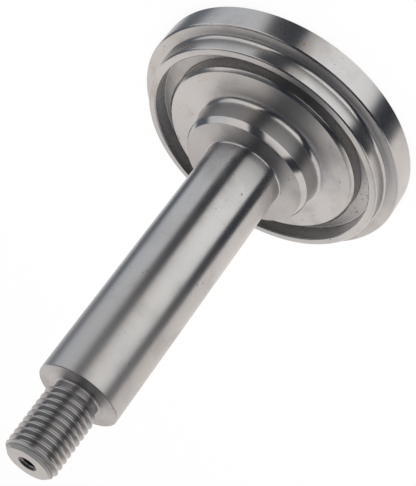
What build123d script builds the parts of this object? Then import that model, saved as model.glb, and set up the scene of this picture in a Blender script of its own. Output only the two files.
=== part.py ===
"""A turned steel spindle: a grooved flange, a stepped hub, a long plain shaft and a threaded stud, all one piece.

It stands on the flange's flat back face. The origin is the centre of that face, and +Z runs up the turning axis
to the end of the stud. All sizes are in millimetres.
"""

import math
import os

from build123d import *

# Radial sizes, stacked outwards from the shaft: each is the width of one ring of the flange's front.
shaft_diameter = 25.0
hub_wall = 8.2
land_width = 11.3
groove_width = 5.0
lip_wall = 2.6
ledge_width = 4.4

# Axial sizes, stacked upwards from the back face.
rim_thickness = 8.7
lip_height = 5.6
groove_depth = 5.6
hub_height = 9.6
shaft_length = 89.0
relief_length = 2.3
thread_length = 21.0

# The stud's M16 coarse thread is carried at its major diameter, and its relief clears the thread's root.
thread_diameter = 16.0
relief_depth = 1.3

# The blind hole in the stud's end, drilled for an M5 tap, with a countersunk mouth.
hole_diameter = 4.2
hole_depth = 12.0
hole_mouth_diameter = 5.6
drill_point_angle = 118

# Broken edges.
rim_chamfer = 0.5
lip_outer_chamfer = 0.4
lip_inner_chamfer = 0.3
land_chamfer = 1.0
hub_chamfer_height = 2.0
hub_chamfer_width = 1.05
shaft_end_chamfer = 0.25
thread_chamfer = 1.6
relief_taper = 1.15

# Inside corners, left round by the nose of the turning tool.
ledge_corner_radius = 1.6
groove_corner_radius = 0.4
hub_corner_radius = 2.5
shaft_corner_radius = 0.8

# Radii of the rings, from the shaft outwards.
shaft_radius = shaft_diameter / 2
hub_radius = shaft_radius + hub_wall
land_radius = hub_radius + land_width
lip_inner_radius = land_radius + groove_width
lip_outer_radius = lip_inner_radius + lip_wall
rim_radius = lip_outer_radius + ledge_width
thread_radius = thread_diameter / 2
relief_radius = thread_radius - relief_depth

# Heights of the faces, from the back face upwards.
ledge_height = rim_thickness
face_height = ledge_height + lip_height
groove_floor_height = face_height - groove_depth
hub_face_height = face_height + hub_height
shoulder_height = hub_face_height + shaft_length
thread_start_height = shoulder_height + relief_length
end_height = thread_start_height + thread_length

matching_distance = 1e-4


def step(radius, bottom, top):
    """One turned step of the section: a rectangle from the axis out to this radius."""
    with Locations((0, bottom)):
        Rectangle(radius, top - bottom, align=(Align.MIN, Align.MIN))


def ring_edges(part, radius, height):
    """The round edge of the part at this radius and height."""
    return [
        edge
        for edge in part.edges().filter_by(GeomType.CIRCLE)
        if abs(edge.radius - radius) < matching_distance
        and abs(edge.arc_center.Z - height) < matching_distance
    ]


with BuildPart() as flanged_spindle:
    # The blank: six steps on one axis, with the groove cut into the flange's front.
    with BuildSketch(Plane.XZ):
        step(rim_radius, 0, ledge_height)
        step(lip_outer_radius, 0, face_height)
        step(hub_radius, 0, hub_face_height)
        step(shaft_radius, 0, shoulder_height)
        step(relief_radius, 0, thread_start_height)
        step(thread_radius, thread_start_height, end_height)
        with Locations((land_radius, groove_floor_height)):
            Rectangle(groove_width, groove_depth, align=(Align.MIN, Align.MIN), mode=Mode.SUBTRACT)
    revolve(axis=Axis.Z)

    # Round inside corners: the ledge, the groove's outer wall, the hub's root and the shaft's root.
    fillet(ring_edges(flanged_spindle, lip_outer_radius, ledge_height), ledge_corner_radius)
    fillet(ring_edges(flanged_spindle, lip_inner_radius, groove_floor_height), groove_corner_radius)
    fillet(ring_edges(flanged_spindle, hub_radius, face_height), hub_corner_radius)
    fillet(ring_edges(flanged_spindle, shaft_radius, hub_face_height), shaft_corner_radius)

    # Broken edges. The hub's is a longer taper, twice as high as it is wide.
    chamfer(ring_edges(flanged_spindle, rim_radius, 0), rim_chamfer)
    chamfer(ring_edges(flanged_spindle, rim_radius, ledge_height), rim_chamfer)
    chamfer(ring_edges(flanged_spindle, lip_outer_radius, face_height), lip_outer_chamfer)
    chamfer(ring_edges(flanged_spindle, lip_inner_radius, face_height), lip_inner_chamfer)
    chamfer(ring_edges(flanged_spindle, land_radius, face_height), land_chamfer)
    hub_face = flanged_spindle.faces().filter_by(Axis.Z).filter_by(
        lambda face: abs(face.center().Z - hub_face_height) < matching_distance
    )[0]
    chamfer(
        ring_edges(flanged_spindle, hub_radius, hub_face_height),
        hub_chamfer_width,
        hub_chamfer_height,
        reference=hub_face,
    )
    chamfer(ring_edges(flanged_spindle, shaft_radius, shoulder_height), shaft_end_chamfer)
    chamfer(ring_edges(flanged_spindle, thread_radius, thread_start_height), relief_taper)
    chamfer(ring_edges(flanged_spindle, thread_radius, end_height), thread_chamfer)

    # The blind hole: a drilled bore with its drill point, then the countersunk mouth.
    hole_radius = hole_diameter / 2
    mouth_radius = hole_mouth_diameter / 2
    mouth_depth = mouth_radius - hole_radius
    hole_floor_height = end_height - hole_depth
    point_depth = hole_radius / math.tan(math.radians(drill_point_angle / 2))
    with BuildSketch(Plane.XZ):
        with BuildLine():
            Polyline(
                (0, hole_floor_height - point_depth),
                (hole_radius, hole_floor_height),
                (hole_radius, end_height - mouth_depth),
                (mouth_radius, end_height),
                (0, end_height),
                close=True,
            )
        make_face()
    revolve(axis=Axis.Z, mode=Mode.SUBTRACT)

flanged_spindle.part.label = "flanged_spindle"
os.makedirs("parts", exist_ok=True)
export_step(flanged_spindle.part, "parts/flanged_spindle.step")

box = flanged_spindle.part.bounding_box()
print("size", round(box.size.X, 2), round(box.size.Y, 2), round(box.size.Z, 2))
print("volume", round(flanged_spindle.part.volume, 1))
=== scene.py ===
from math import cos, hypot, radians, sin

import bmesh
import bpy
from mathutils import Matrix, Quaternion, Vector


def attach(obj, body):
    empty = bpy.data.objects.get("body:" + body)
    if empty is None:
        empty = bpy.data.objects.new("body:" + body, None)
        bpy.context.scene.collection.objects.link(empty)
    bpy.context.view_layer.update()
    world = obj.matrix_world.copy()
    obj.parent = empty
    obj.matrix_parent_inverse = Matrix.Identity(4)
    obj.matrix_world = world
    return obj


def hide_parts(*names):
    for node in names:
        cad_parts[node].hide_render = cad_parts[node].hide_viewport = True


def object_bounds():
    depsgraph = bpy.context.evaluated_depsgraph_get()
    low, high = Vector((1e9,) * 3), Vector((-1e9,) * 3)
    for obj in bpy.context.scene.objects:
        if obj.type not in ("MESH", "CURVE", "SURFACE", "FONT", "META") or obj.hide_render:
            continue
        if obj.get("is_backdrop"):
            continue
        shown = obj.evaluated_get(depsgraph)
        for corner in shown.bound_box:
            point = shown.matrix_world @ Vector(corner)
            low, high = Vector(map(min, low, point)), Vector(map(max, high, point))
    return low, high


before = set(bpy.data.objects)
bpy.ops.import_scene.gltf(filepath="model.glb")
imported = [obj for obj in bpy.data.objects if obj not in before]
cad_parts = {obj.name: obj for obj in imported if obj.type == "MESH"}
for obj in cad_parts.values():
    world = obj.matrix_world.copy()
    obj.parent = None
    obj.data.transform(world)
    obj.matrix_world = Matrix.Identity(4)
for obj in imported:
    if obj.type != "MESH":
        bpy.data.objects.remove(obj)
cad_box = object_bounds()

# The camera.
# A long lens looks down on the flange's front at 30 degrees, and is rolled so that the stud comes
# towards the lower left corner.
mm = 0.001
camera_place = Vector((0, -341.47, 250.33)) * mm
camera_target = Vector((-3.95, 0, 50.69)) * mm
camera_roll = radians(-143.8)

camera_data = bpy.data.cameras.new("camera")
camera_data.sensor_fit = "AUTO"
camera_data.sensor_width = 36
camera_data.lens = 100.872
camera_data.clip_start = 10 * mm
camera_data.clip_end = 20
camera = bpy.data.objects.new("camera", camera_data)
bpy.context.collection.objects.link(camera)
camera.location = camera_place
camera.rotation_mode = "QUATERNION"
level_view = (camera_target - camera_place).to_track_quat("-Z", "Y")
camera.rotation_quaternion = level_view @ Quaternion((0, 0, 1), camera_roll)
bpy.context.scene.camera = camera

# The spindle's body: flange, hub, shaft and the neck under the thread.
# It is one bar of free-cutting steel, faced, grooved and stepped down in the lathe in one chucking,
# and its sharp corners are broken with a chamfering tool.
around = 256
tolerance = 0.004 * mm

# Widths, from the shaft outwards.
shaft_radius = 12.5 * mm
hub_wall = 8.2 * mm
land_width = 11.3 * mm
groove_width = 5.0 * mm
lip_wall = 2.6 * mm
ledge_width = 4.4 * mm
neck_radius = 6.7 * mm

# Lengths, from the back face up.
rim_thickness = 8.7 * mm
lip_height = 5.6 * mm
groove_depth = 5.6 * mm
hub_rise = 9.6 * mm
shaft_length = 89.0 * mm
neck_length = 2.3 * mm
thread_length = 21.0 * mm
core_length = 8.1 * mm

rim_chamfer = 0.5 * mm
lip_outer_chamfer = 0.4 * mm
lip_inner_chamfer = 0.3 * mm
land_chamfer = 1.0 * mm
hub_chamfer_height = 2.0 * mm
hub_chamfer_width = 1.05 * mm
shoulder_chamfer = 0.25 * mm

ledge_corner = 1.6 * mm
groove_corner = 0.4 * mm
hub_corner = 2.5 * mm
shaft_corner = 0.8 * mm
neck_corner = 0.6 * mm

# How far the burrs are stoned off the chamfers' own edges.
stoned_rim = 0.14 * mm
stoned = 0.12 * mm
stoned_lip = 0.08 * mm

hub_radius = shaft_radius + hub_wall
land_radius = hub_radius + land_width
lip_inner = land_radius + groove_width
lip_outer = lip_inner + lip_wall
rim_radius = lip_outer + ledge_width

ledge_height = rim_thickness
face_height = ledge_height + lip_height
groove_floor = face_height - groove_depth
hub_height = face_height + hub_rise
shoulder_height = hub_height + shaft_length
end_height = shoulder_height + neck_length + thread_length
core_top = shoulder_height + core_length


def edit(piece):
    """Opens one piece, and nothing else, for editing."""
    if bpy.context.mode != "OBJECT":
        bpy.ops.object.mode_set(mode="OBJECT")
    bpy.ops.object.select_all(action="DESELECT")
    piece.select_set(True)
    bpy.context.view_layer.objects.active = piece
    bpy.ops.object.mode_set(mode="EDIT")


def done():
    bpy.ops.object.mode_set(mode="OBJECT")


def chucked(name, radius, height):
    """A round blank's end face, ready to be drawn out step by step."""
    bpy.ops.object.select_all(action="DESELECT")
    bpy.ops.mesh.primitive_circle_add(
        vertices=around, radius=radius, fill_type="NGON", location=(0, 0, height)
    )
    piece = bpy.context.object
    piece.name = piece.data.name = name
    bpy.ops.object.transform_apply(location=True, rotation=True, scale=True)
    edit(piece)
    bpy.ops.mesh.select_mode(type="FACE")
    bpy.ops.mesh.select_all(action="SELECT")
    piece["radius"], piece["height"] = radius, height
    return piece


def turn_to(piece, radius, height):
    """Draws the end face out to its next radius and height."""
    rise = height - piece["height"]
    bpy.ops.mesh.extrude_region_move(TRANSFORM_OT_translate={"value": (0, 0, rise)})
    scale = radius / piece["radius"]
    if abs(scale - 1) > 1e-9:
        bpy.ops.transform.resize(value=(scale, scale, 1), center_override=(0, 0, height))
    piece["radius"], piece["height"] = radius, height


def select_ring(piece, radius, height):
    """Selects the round edge at this radius and height."""
    bpy.ops.mesh.select_mode(type="EDGE")
    bpy.ops.mesh.select_all(action="DESELECT")
    net = bmesh.from_edit_mesh(piece.data)
    found = 0
    for edge in net.edges:
        if all(
            abs(hypot(v.co.x, v.co.y) - radius) < tolerance and abs(v.co.z - height) < tolerance
            for v in edge.verts
        ):
            edge.select_set(True)
            found += 1
    net.select_flush_mode()
    bmesh.update_edit_mesh(piece.data)
    if not found:
        raise ValueError(f"no ring at {radius / mm:.2f}, {height / mm:.2f} mm")


def break_ring(piece, radius, height, size, steps=1):
    """Breaks a round edge: a chamfer in one step, a radius in several."""
    select_ring(piece, radius, height)
    bpy.ops.mesh.bevel(offset_type="OFFSET", offset=size, segments=steps, profile=0.5, affect="EDGES")


def point_outwards(piece):
    """Joins vertices that lie on each other and turns every face outwards."""
    edit(piece)
    bpy.ops.mesh.select_all(action="SELECT")
    bpy.ops.mesh.remove_doubles(threshold=0.0005 * mm)
    bpy.ops.mesh.normals_make_consistent(inside=False)
    done()


spindle = chucked("spindle", rim_radius, 0)
for radius, height in (
    (rim_radius, ledge_height),
    (lip_outer, ledge_height),
    (lip_outer, face_height),
    (lip_inner, face_height),
    (lip_inner, groove_floor),
    (land_radius, groove_floor),
    (land_radius, face_height),
    (hub_radius, face_height),
    (hub_radius, hub_height - hub_chamfer_height),
    (hub_radius - hub_chamfer_width, hub_height),
    (shaft_radius, hub_height),
    (shaft_radius, shoulder_height),
    (neck_radius, shoulder_height),
    (neck_radius, core_top),
):
    turn_to(spindle, radius, height)

for radius, height, size, steps in (
    (rim_radius, 0, rim_chamfer, 1),
    (rim_radius, ledge_height, rim_chamfer, 1),
    (lip_outer, ledge_height, ledge_corner, 10),
    (lip_outer, face_height, lip_outer_chamfer, 1),
    (lip_inner, face_height, lip_inner_chamfer, 1),
    (lip_inner, groove_floor, groove_corner, 6),
    (land_radius, groove_floor, groove_corner, 6),
    (land_radius, face_height, land_chamfer, 1),
    (hub_radius, face_height, hub_corner, 12),
    (shaft_radius, hub_height, shaft_corner, 8),
    (shaft_radius, shoulder_height, shoulder_chamfer, 1),
    (neck_radius, shoulder_height, neck_corner, 8),
    (rim_radius, ledge_height - rim_chamfer, stoned_rim, 3),
    (rim_radius - rim_chamfer, ledge_height, stoned_rim, 3),
    (lip_outer, face_height - lip_outer_chamfer, stoned, 3),
    (lip_outer - lip_outer_chamfer, face_height, stoned, 3),
    (lip_inner + lip_inner_chamfer, face_height, stoned_lip, 3),
    (land_radius - land_chamfer, face_height, stoned, 3),
    (land_radius, face_height - land_chamfer, stoned, 3),
    (hub_radius, hub_height - hub_chamfer_height, stoned, 3),
    (hub_radius - hub_chamfer_width, hub_height, stoned, 3),
):
    break_ring(spindle, radius, height, size, steps)
done()
point_outwards(spindle)

# The stud's thread, M16 coarse, right hand.
# It is cut in the same chucking with a single point, so its crests and roots are a little round, and
# it runs out into the neck. Both its ends are chamfered.
pitch = 2.0 * mm
turns = 14
crest_radius = 8.0 * mm
root_radius = 6.773 * mm
crest_flat = 0.28 * mm
root_flat = 0.32 * mm
crest_rounding = 0.11 * mm
root_rounding = 0.14 * mm
flank = (pitch - crest_flat - root_flat) / 2
middle = (crest_radius + root_radius) / 2
half_depth = crest_radius - middle
first_crest = shoulder_height - 2.15 * mm
thread_foot = shoulder_height + 0.5 * mm
thread_tip = end_height + 1.2 * mm

bpy.ops.object.select_all(action="DESELECT")
bpy.ops.mesh.primitive_plane_add(size=0.1 * mm, location=(0, 0, 0))
thread = bpy.context.object
thread.name = thread.data.name = "thread"
edit(thread)
bpy.ops.mesh.select_mode(type="VERT")
bpy.ops.mesh.select_all(action="SELECT")
bpy.ops.mesh.merge(type="CENTER")
bpy.ops.mesh.select_all(action="SELECT")
bpy.ops.transform.translate(value=(middle, 0, first_crest - crest_flat / 2 - flank / 2))
for out, up in (
    (half_depth, flank / 2),
    (0, crest_flat),
    (-2 * half_depth, flank),
    (0, root_flat),
    (half_depth, flank / 2),
):
    bpy.ops.mesh.extrude_vertices_move(TRANSFORM_OT_translate={"value": (out, 0, up)})


def round_corners(piece, radius, size):
    """Rounds the corners of the thread's outline that lie at one radius."""
    bpy.ops.mesh.select_all(action="DESELECT")
    net = bmesh.from_edit_mesh(piece.data)
    for vert in net.verts:
        vert.select_set(abs(vert.co.x - radius) < 0.01 * mm)
    net.select_flush_mode()
    bmesh.update_edit_mesh(piece.data)
    bpy.ops.mesh.bevel(offset_type="OFFSET", offset=size, segments=3, profile=0.5, affect="VERTICES")


round_corners(thread, crest_radius, crest_rounding)
round_corners(thread, root_radius, root_rounding)
done()

winding = thread.modifiers.new("winding", "SCREW")
winding.axis = "Z"
winding.angle = radians(360)
winding.screw_offset = pitch
winding.iterations = turns
winding.steps = winding.render_steps = around // 2
winding.use_merge_vertices = False
bpy.ops.object.modifier_apply(modifier=winding.name)
point_outwards(thread)


def cut_off(piece, height, upper):
    """Saws the upper or the lower end off a piece and closes the cut."""
    edit(piece)
    bpy.ops.mesh.select_all(action="SELECT")
    bpy.ops.mesh.bisect(
        plane_co=(0, 0, height), plane_no=(0, 0, 1), use_fill=True, clear_outer=upper, clear_inner=not upper
    )
    done()


cut_off(thread, thread_foot, upper=False)
cut_off(thread, thread_tip, upper=True)
point_outwards(thread)


def combine(piece, tool, operation):
    """Joins, cuts or trims a piece with another, which is then thrown away."""
    bpy.ops.object.select_all(action="DESELECT")
    piece.select_set(True)
    bpy.context.view_layer.objects.active = piece
    cut = piece.modifiers.new("cut", "BOOLEAN")
    cut.operation = operation
    cut.solver = "EXACT"
    cut.object = tool
    bpy.ops.object.modifier_apply(modifier=cut.name)
    bpy.data.objects.remove(tool, do_unlink=True)


# The chamfers at both ends of the thread, at 45 degrees.
# The thread is trimmed to a blank that has both of them, and is then joined to the body.
end_chamfer = 1.6 * mm
foot_radius = 5.9 * mm
foot_gap = 1.35 * mm
foot_height = shoulder_height + foot_gap
over = 1.0 * mm
over_radius = crest_radius + over

blank = chucked("blank", foot_radius, foot_height)
turn_to(blank, over_radius, foot_height + over_radius - foot_radius)
turn_to(blank, over_radius, end_height - end_chamfer - over)
turn_to(blank, crest_radius - end_chamfer, end_height)
done()
point_outwards(blank)
combine(thread, blank, "INTERSECT")
combine(spindle, thread, "UNION")

# The hole in the stud's end, drilled 4.2 mm for an M5 tap.
# Its mouth is countersunk, and the edge between the two is a little round.
hole_radius = 2.1 * mm
hole_depth = 12.0 * mm
point_depth = 1.26 * mm
tip_radius = 0.02 * mm
mouth_depth = 0.7 * mm
mouth_foot = end_height - mouth_depth
mouth_edge = 0.15 * mm
hole_floor = end_height - hole_depth

drill = chucked("drill", tip_radius, hole_floor - point_depth)
turn_to(drill, hole_radius, hole_floor)
turn_to(drill, hole_radius, mouth_foot)
turn_to(drill, hole_radius + mouth_depth + over, end_height + over)
break_ring(drill, hole_radius, mouth_foot, mouth_edge, 4)
done()
point_outwards(drill)
combine(spindle, drill, "DIFFERENCE")
point_outwards(spindle)
bpy.ops.object.shade_smooth_by_angle(angle=radians(19))
for note in ("radius", "height"):
    del spindle[note]


# The bare steel, as it left the lathe.
# Fine feed rings run round every face and barrel, so the shine is drawn out across them. Handling has left
# faint smudges, and there are a few tiny pits. Shade is painted into the hole, the neck and the thread's
# flanks, and highlights onto the crests and the foot of the end's chamfer.
class Wire:
    """One socket. Sums on it add Math nodes, and node() adds any other node."""

    def __init__(self, tree, socket=None):
        self.tree, self.socket = tree, socket

    def node(self, kind, settings=None, inputs=None, output=0):
        """Adds a node, sets it, and fills its inputs with values or with other wires."""
        new = self.tree.nodes.new(kind)
        for name, value in (settings or {}).items():
            setattr(new, name, value)
        for name, value in (inputs or {}).items():
            if isinstance(value, Wire):
                self.tree.links.new(value.socket, new.inputs[name])
            else:
                new.inputs[name].default_value = value
        return Wire(self.tree, new.outputs[output]) if len(new.outputs) else None

    def maths(self, operation, *others):
        return self.node("ShaderNodeMath", {"operation": operation}, dict(enumerate((self, *others))))

    def __add__(self, other):
        return self.maths("ADD", other)

    def __sub__(self, other):
        return self.maths("SUBTRACT", other)

    def __rsub__(self, other):
        return self.node("ShaderNodeMath", {"operation": "SUBTRACT"}, {0: other, 1: self})

    def __mul__(self, other):
        return self.maths("MULTIPLY", other)

    __radd__ = __add__
    __rmul__ = __mul__

    def smooth(self, low, high):
        """0 below low, 1 above high, and a soft step between them."""
        return self.node(
            "ShaderNodeMapRange",
            {"interpolation_type": "SMOOTHSTEP"},
            {"Value": self, "From Min": low, "From Max": high},
        )

    def near(self, level, inner, outer):
        """1 within the inner distance of a level, 0 past the outer one."""
        return 1.0 - (self - level).maths("ABSOLUTE").smooth(inner, outer)

    def tint(self, below, above):
        """A colour that goes from below to above as this goes from 0 to 1."""
        return self.node("ShaderNodeMix", {"data_type": "RGBA"}, {0: self, 6: below, 7: above}, 2)

    def through(self, colour):
        """This colour seen through another one."""
        settings = {"data_type": "RGBA", "blend_type": "MULTIPLY"}
        return self.node("ShaderNodeMix", settings, {0: 1.0, 6: self, 7: colour}, 2)

    def vector(self, operation, other, output="Value"):
        return self.node("ShaderNodeVectorMath", {"operation": operation}, {0: self, 1: other}, output)

    def parts(self):
        """The x, y and z of this vector."""
        split = self.node("ShaderNodeSeparateXYZ", inputs={0: self}).socket.node
        return [Wire(self.tree, socket) for socket in split.outputs]


def wiring(owner):
    """Empties the node tree of a material or a world, and starts a wire in it."""
    owner.use_nodes = True
    owner.node_tree.nodes.clear()
    return Wire(owner.node_tree)


black = (0.0, 0.0, 0.0, 1.0)
white = (1.0, 1.0, 1.0, 1.0)
steel_grey = (0.470, 0.470, 0.473, 1.0)
faint_straw = (1.015, 1.0, 0.975, 1.0)
rust_brown = (0.46, 0.25, 0.12, 1.0)
oil_yellow = (0.36, 0.28, 0.15, 1.0)
paint_green = (0.06, 0.26, 0.14, 1.0)

steel = bpy.data.materials.new("turned_steel")
lathe = wiring(steel)
# From here on, places on the steel are in mm, and so are the part's own sizes.
place = lathe.node("ShaderNodeTexCoord", output="Object")
place = place.vector("MULTIPLY", (1 / mm, 1 / mm, 1 / mm), "Vector")
x, y, z = place.parts()
r = (x * x + y * y).maths("SQRT")
ledge, face, hub_top = ledge_height / mm, face_height / mm, hub_height / mm
shoulder, end = shoulder_height / mm, end_height / mm
hub_edge, land_edge, lip_edge = hub_radius / mm, land_radius / mm, lip_inner / mm
crest, mouth = crest_radius / mm, (hole_radius + mouth_depth) / mm


def noise(at, scale, detail, roughness):
    return lathe.node(
        "ShaderNodeTexNoise",
        inputs={"Vector": at, "Scale": scale, "Detail": detail, "Roughness": roughness},
    )


def spot(centre, size):
    """A mark with a ragged edge, round a point: 1 inside it and 0 outside."""
    off = place.vector("DISTANCE", centre) + size * (grain - 0.5)
    return 1.0 - off.smooth(size * 0.75, size * 1.1)


# Where the surface faces up or down, slopes, or stands upright.
facing = lathe.node("ShaderNodeNewGeometry", output="Normal").parts()[2]
steep = facing.maths("ABSOLUTE")
flatness = steep.smooth(0.80, 0.97)
sloping = steep.smooth(0.15, 0.35) * (1.0 - flatness)

# The places that look different.
groove = (1.0 - z.smooth(face - 0.4, face - 0.2)) * r.smooth(land_edge - 1.0, land_edge - 0.1)
groove = groove * (1.0 - r.smooth(lip_edge + 0.1, lip_edge + 0.6))
hub_side = r.near(hub_edge, 0.1, 0.5) * (1.0 - steep.smooth(0.1, 0.2))
haze = z.smooth(32.0, 112.0) * (1.0 - z.smooth(shoulder - 0.4, shoulder + 0.6))
stud = z.smooth(shoulder + 0.05, shoulder + 0.2) * (1.0 - z.smooth(end - 0.2, end - 0.05))
# The neck under the thread gets painted shade.
shaded_neck = z.smooth(shoulder + 0.05, shoulder + 0.3) * (1.0 - z.smooth(shoulder + 2.3, shoulder + 3.3))
shaded_neck = shaded_neck * (1.0 - steep.smooth(0.3, 0.6))
# The thread's flanks get painted shade, and its crests a painted highlight.
shaded_flanks = stud * steep.smooth(0.45, 0.8)
highlit_crests = stud * r.smooth(crest - 0.16, crest - 0.07) * (1.0 - z.smooth(end - 1.9, end - 1.7))
run_out = stud * (-1.0 * facing).smooth(0.35, 0.6) * (1.0 - z.smooth(shoulder + 3.5, shoulder + 3.8))
end_chamfer_wear = stud * z.smooth(end - 1.7, end - 1.3) * r.smooth(5.0, 5.6)
end_face = z.smooth(end - 0.15, end - 0.05)
upper_faces = z.smooth(hub_top - 0.4, hub_top - 0.1) * flatness * (1.0 - end_face)
# The hole is darkened, as painted shade inside the bore, all but its edge.
inside = (1.0 - r.smooth(mouth, mouth + 0.06)) * z.smooth(end - 15.2, end - 14.7)
inside = inside * (1.0 - z.near(end - mouth_depth / mm, 0.10, 0.20))

# What the tool and the hands left all over.
rings_at = lathe.node("ShaderNodeCombineXYZ", inputs={0: r, 1: z})
fine_rings = noise(rings_at, 2.6, 4.0, 0.65)
broad_rings = noise(rings_at, 0.9, 2.0, 0.5)
smudges = noise(place, 0.09, 4.0, 0.55).smooth(0.45, 0.72)
pits = noise(place, 1.15, 1.0, 0.4).smooth(0.735, 0.775) * noise(place, 0.07, 2.0, 0.5).smooth(0.42, 0.62)
grain = noise(place, 0.8, 5.0, 0.7)
# Upright walls are smoother than faces, and the groove's walls smoothest.
roughened = (0.45 + 0.55 * steep.smooth(0.5, 0.9)) * (1.0 - 0.6 * groove) * (grain - 0.5)

# How light the steel is. The stud is darker overall, its flanks darker still as painted shade in the
# thread's grooves, and its crests lighter as a painted highlight. The neck and the hole carry painted
# shade, and the hub's wall and the faces from the hub's top up are a little darker.
tone = 0.90 + 0.12 * fine_rings + 0.09 * broad_rings + 0.22 * roughened - 0.10 * smudges - 0.45 * pits
tone = tone * (1.0 - 0.62 * inside) * (1.0 - 0.11 * stud - 0.15 * shaded_flanks) * (1.0 - 0.08 * shaded_neck)
tone = tone * (1.0 + 0.34 * highlit_crests) * (1.0 - 0.12 * hub_side) * (1.0 - 0.19 * upper_faces)

# Nicks on the ledge, the hub's face and the shaft, and a cluster of pocks in the groove.
pocks = noise(place, 1.0, 2.0, 0.5).smooth(0.60, 0.66)
nicks = 1.3 * pocks * (spot((-33.0, -8.4, ledge), 4.2) + spot((-33.6, 2.1, ledge), 2.2))
for centre, size, depth in (
    ((20.3, -35.9, ledge), 0.28, 1.0),
    ((41.7, -7.0, ledge), 0.22, 1.0),
    ((-11.9, -11.7, hub_top), 0.25, 1.0),
    ((-3.4, -12.0, 38.0), 0.45, 0.6),
    ((5.2, -11.4, 76.0), 0.35, 0.5),
):
    nicks = nicks + depth * spot(centre, size)
# The shoulder shows one brighter ring.
shoulder_bright_ring = r.near(8.9, 0.05, 0.22) * z.near(shoulder - 0.05, 0.15, 0.35)
tone = tone * (1.0 - 0.6 * nicks.maths("MINIMUM", 1.0)) * (1.0 + 0.12 * shoulder_bright_ring)
# The end's chamfer has a painted dark line of shade where the first turn starts, and a painted highlight at
# its foot.
start_shade_line = stud * r.near(7.15, 0.04, 0.26) * z.smooth(end - 1.5, end - 1.3)
foot_highlight = stud * r.smooth(7.38, 7.60) * z.smooth(end - 1.9, end - 1.7)
tone = tone * (1.0 - 0.42 * start_shade_line) * (1.0 + 0.62 * foot_highlight)

# A rust dot on the rim, oil stains beside the groove and at the shaft's root, and a fleck of paint on
# the thread.
specks = noise(place, 1.4, 2.0, 0.5).smooth(0.56, 0.64)
stains = specks * (spot((25.8, 6.0, face), 3.4) + spot((26.9, -13.5, face), 2.2))
stains = stains + spot((12.4, -1.6, 25.3), 0.55) + spot((23.6, 20.8, face), 1.6)
stains = stains + 0.5 * spot((31.9, 1.5, 11.5), 2.2)
colour = tone.tint(black, steel_grey)
colour = (0.8 * spot((7.6, -43.3, 5.8), 0.42)).tint(colour, rust_brown)
colour = (0.55 * stains.maths("MINIMUM", 1.0)).tint(colour, oil_yellow)
colour = (0.8 * spot((-6.1, -4.65, 124.3), 0.42)).tint(colour, paint_green)
straw = noise(place, 0.06, 2.0, 0.5).smooth(0.50, 0.68)
colour = colour.through(straw.tint(white, faint_straw))

# The shine. Feed rings draw it out across them. The screw-cut stud, its end and the rubbed end of the
# shaft have no lie to their marks, and both ends of the thread are dull where the turns run out.
shine = 0.235 + 0.12 * flatness + 0.11 * haze + 0.10 * hub_side + 0.04 * fine_rings + 0.08 * smudges
shine = shine - 0.09 * sloping * (1.0 - stud) + 0.2 * pits + 0.10 * roughened
dull = 0.27 + 0.20 * end_face + 0.16 * haze + 0.06 * fine_rings + 0.16 * end_chamfer_wear
metal = 1.0 - 0.35 * end_chamfer_wear - 0.5 * run_out
depth_of_rings = fine_rings * 0.7 + broad_rings * 0.3
bump = lathe.node(
    "ShaderNodeBump", inputs={"Strength": 0.35, "Distance": 0.01 * mm, "Height": depth_of_rings}
)
turned = lathe.node(
    "ShaderNodeBsdfPrincipled",
    inputs={
        "Base Color": colour,
        "Metallic": 1.0,
        "Roughness": shine,
        "Anisotropic": 0.85,
        "Anisotropic Rotation": 0.25,
        "Normal": bump,
    },
)
rubbed = lathe.node(
    "ShaderNodeBsdfPrincipled",
    inputs={"Base Color": colour, "Metallic": metal, "Roughness": dull, "Normal": bump},
)
evened = (0.55 * haze + stud + end_face).maths("MINIMUM", 1.0)
skin = lathe.node("ShaderNodeMixShader", inputs={0: evened, 1: turned, 2: rubbed})
lathe.node("ShaderNodeOutputMaterial", inputs={"Surface": skin})
spindle.data.materials.clear()
spindle.data.materials.append(steel)

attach(spindle, "root")
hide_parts("flanged_spindle")

# The table: a plain white board just under the part.
# The lens sees it nearly white, and it keeps a faint shadow of the part.
board_size = 8
board_drop = 0.1 * mm
board_paint = (0.9, 0.9, 0.9, 1.0)
board_glow = 0.93

bpy.ops.object.select_all(action="DESELECT")
bpy.ops.mesh.primitive_plane_add(size=board_size, location=(0, 0, -board_drop))
floor = bpy.context.object
floor.name = "floor"
bpy.ops.object.transform_apply(location=True, rotation=True, scale=True)
board = bpy.data.materials.new("board")
paint = wiring(board)
camera_ray = paint.node("ShaderNodeLightPath", output="Is Camera Ray")
glossy_ray = paint.node("ShaderNodeLightPath", output="Is Glossy Ray")
transmission_ray = paint.node("ShaderNodeLightPath", output="Is Transmission Ray")
seen = camera_ray.maths("MAXIMUM", glossy_ray).maths("MAXIMUM", transmission_ray)
matt = paint.node("ShaderNodeBsdfDiffuse", inputs={"Color": board_paint})
glow = paint.node("ShaderNodeEmission", inputs={"Color": white, "Strength": 1.0})
both = paint.node("ShaderNodeMixShader", inputs={0: seen * board_glow, 1: matt, 2: glow})
paint.node("ShaderNodeOutputMaterial", inputs={"Surface": both})
floor.data.materials.append(board)
floor.visible_glossy = False
floor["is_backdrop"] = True

# The studio: a pale tent with three dark screens, and the dark workshop over and behind it.
# The polished barrels show the screens as dark bands.
warm_tent = (1.17, 1.09, 1.04, 1.0)
cool_tent = (0.87, 0.885, 0.915, 1.0)
front_lamp = (1.42, 1.40, 1.37, 1.0)
back_lamp = (1.28, 1.20, 1.15, 1.0)
screen_cloth = (0.02, 0.027, 0.04, 1.0)
screen_edge = (0.93, 0.985, 1.06, 1.0)

studio = bpy.data.worlds.new("studio")
bpy.context.scene.world = studio
sky = wiring(studio)
way = sky.node("ShaderNodeTexCoord", output="Generated")


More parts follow.
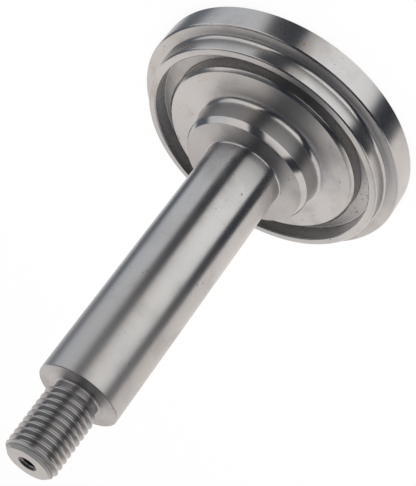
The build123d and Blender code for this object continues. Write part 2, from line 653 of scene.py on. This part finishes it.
def direction(azimuth, elevation):
    a, e = radians(azimuth), radians(elevation)
    return Vector((cos(a) * cos(e), sin(a) * cos(e), sin(e)))


def towards(azimuth, elevation):
    """How near a direction is to this one: 1 at it, 0 at right angles to it."""
    return way.vector("DOT_PRODUCT", direction(azimuth, elevation))


def cone(azimuth, elevation, inner, outer):
    """1 within the inner angle of a direction, 0 past the outer one."""
    return towards(azimuth, elevation).smooth(cos(radians(outer)), cos(radians(inner)))


def screen(foot, head, half_width, soft, depth):
    """How much light a tall dark screen lets by. Its foot and head are directions."""
    foot, head = direction(*foot), direction(*head)
    across, middle = foot.cross(head).normalized(), (foot + head).normalized()
    off = way.vector("DOT_PRODUCT", across).maths("ABSOLUTE")
    hidden = 1.0 - off.smooth(sin(radians(half_width - soft)), sin(radians(half_width + soft)))
    return 1.0 - depth * hidden * way.vector("DOT_PRODUCT", middle).smooth(0.25, 0.45)


screens = (
    screen((-156, -30), (-147, 19), 13.5, 3, 0.97)
    * screen((-54, -30), (-70, 25), 13, 3, 0.95)
    * screen((34, -30), (30, 3), 13, 5, 0.82)
)
# Above the tent the workshop is dark, and nearly so behind the lens.
lift = way.parts()[2]
ceiling = 1.0 - 0.88 * lift.smooth(sin(radians(30)), sin(radians(41))) * (1.0 - cone(90, 30, 44, 62))
room = (1.0 - 0.9 * cone(-90, 66, 30, 42)).maths("MINIMUM", ceiling)
level = screens * room * (1.0 - 0.5 * cone(142, 40, 13, 26))
# The tent's cloth is cooler on one side, and its lamps make it brighter in front and at the back.
tent = towards(12, -30).smooth(0.45, 0.9).tint(warm_tent, cool_tent)
tent = towards(-112, -20).smooth(0.78, 0.96).tint(tent, front_lamp)
tent = towards(90, 30).smooth(0.80, 0.97).tint(tent, back_lamp)
lit = level.tint(screen_cloth, level.smooth(0.3, 1.0).tint(screen_edge, white))
camera_ray = sky.node("ShaderNodeLightPath", output="Is Camera Ray")
shade = camera_ray.tint(tent.through(lit), white)
shade = sky.node("ShaderNodeBackground", inputs={"Color": shade, "Strength": 1.0})
sky.node("ShaderNodeOutputWorld", inputs={"Surface": shade})

# One large soft lamp overhead, for the shadow on the board.
# The steel doesn't mirror it.
lamp_data = bpy.data.lights.new("lamp", "AREA")
lamp_data.shape = "DISK"
lamp_data.size = 0.7
lamp_data.energy = 4.5
lamp = bpy.data.objects.new("lamp", lamp_data)
lamp.location = (-0.1, -0.1, 0.75)
lamp.visible_glossy = False
bpy.context.collection.objects.link(lamp)

bpy.context.scene.view_settings.view_transform = "Standard"

both = ([[round(v, 6) for v in corner] for corner in box] for box in (cad_box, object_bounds()))
dict(zip(("cad", "scene"), both))
